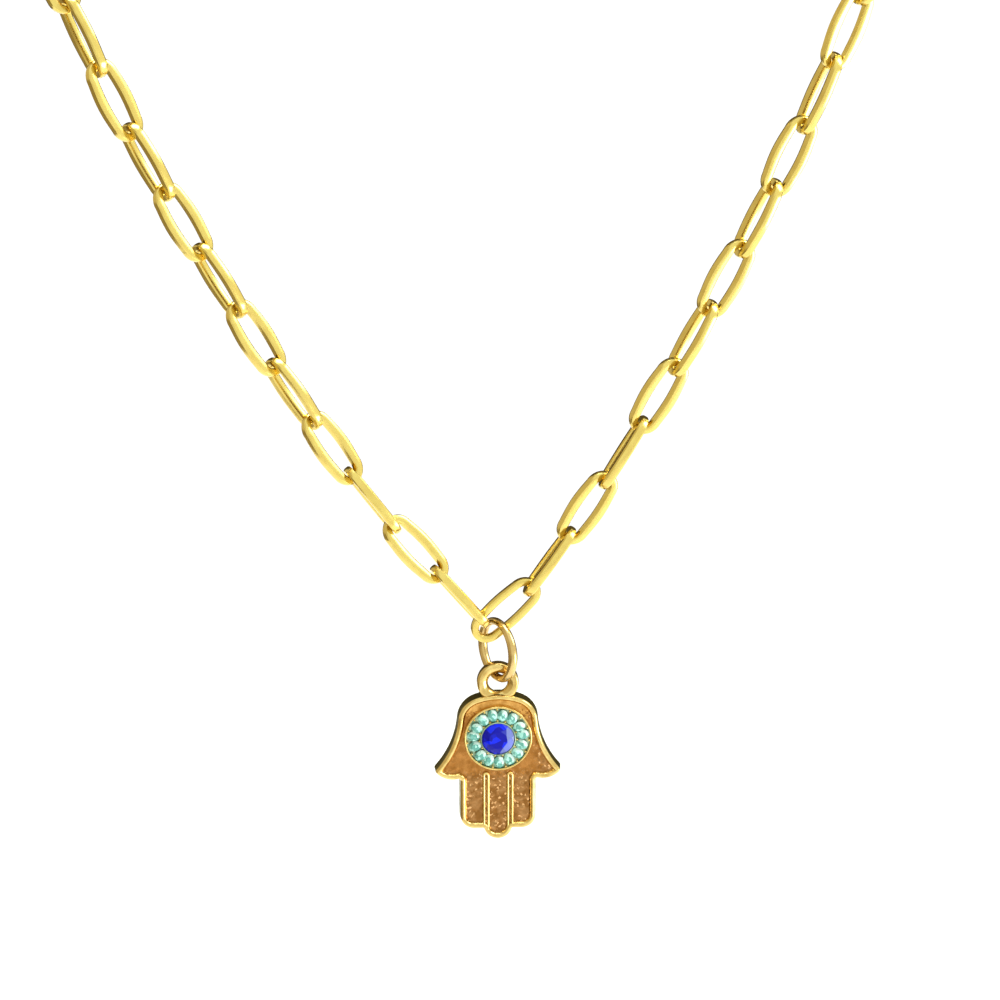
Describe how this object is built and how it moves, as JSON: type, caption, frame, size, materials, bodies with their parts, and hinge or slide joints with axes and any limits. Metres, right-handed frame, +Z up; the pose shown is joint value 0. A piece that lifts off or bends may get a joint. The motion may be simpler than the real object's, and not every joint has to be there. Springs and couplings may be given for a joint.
{
  "type": "hamsa pendant necklace",
  "caption": "Paperclip-chain necklace with a small cast hand pendant on a jump ring, its palm set with a round blue stone in a halo of aqua stones.",
  "frame": {"origin": "middle of the chain where it lies on the nape, at the clasp", "axes": "+Z up, -Y towards the front where the pendant hangs, +X towards the right of the picture; the chain runs round a neck and down the chest"},
  "size_m": [0.1182, 0.1033, 0.1343],
  "materials": {
    "chain_metal": "polished yellow gold plate",
    "ring_metal": "polished pale gold plate",
    "hand_metal": "polished gold plate on the rim and ridges, rough and coppery in the sunk field",
    "centre_glass": "polished facets",
    "halo_glass": "polished facets"
  },
  "bodies": {
    "chain": {"chain_right": "chain_metal", "chain_left": "chain_metal", "clasp": "chain_metal"},
    "ring": {"jump_ring": "ring_metal"},
    "pendant": {"hamsa_hand": "hand_metal", "centre_stone": "centre_glass", "halo_stone_01": "halo_glass", "halo_stone_02": "halo_glass", "halo_stone_03": "halo_glass", "halo_stone_04": "halo_glass", "halo_stone_05": "halo_glass", "halo_stone_06": "halo_glass", "halo_stone_07": "halo_glass", "halo_stone_08": "halo_glass", "halo_stone_09": "halo_glass", "halo_stone_10": "halo_glass", "halo_stone_11": "halo_glass", "halo_stone_12": "halo_glass", "halo_stone_13": "halo_glass", "halo_stone_14": "halo_glass", "halo_stone_15": "halo_glass"}
  },
  "joints": [
    {"name": "ring_swing", "type": "hinge", "parent": "chain", "child": "ring", "pos_m": [0, -0.099, -0.112], "axis": [1, 0, 0], "range_deg": [-18, 18]},
    {"name": "hand_swing", "type": "hinge", "parent": "ring", "child": "pendant", "pos_m": [0, -0.099, -0.11527], "axis": [1, 0, 0], "range_deg": [-35, 35]}
  ]
}
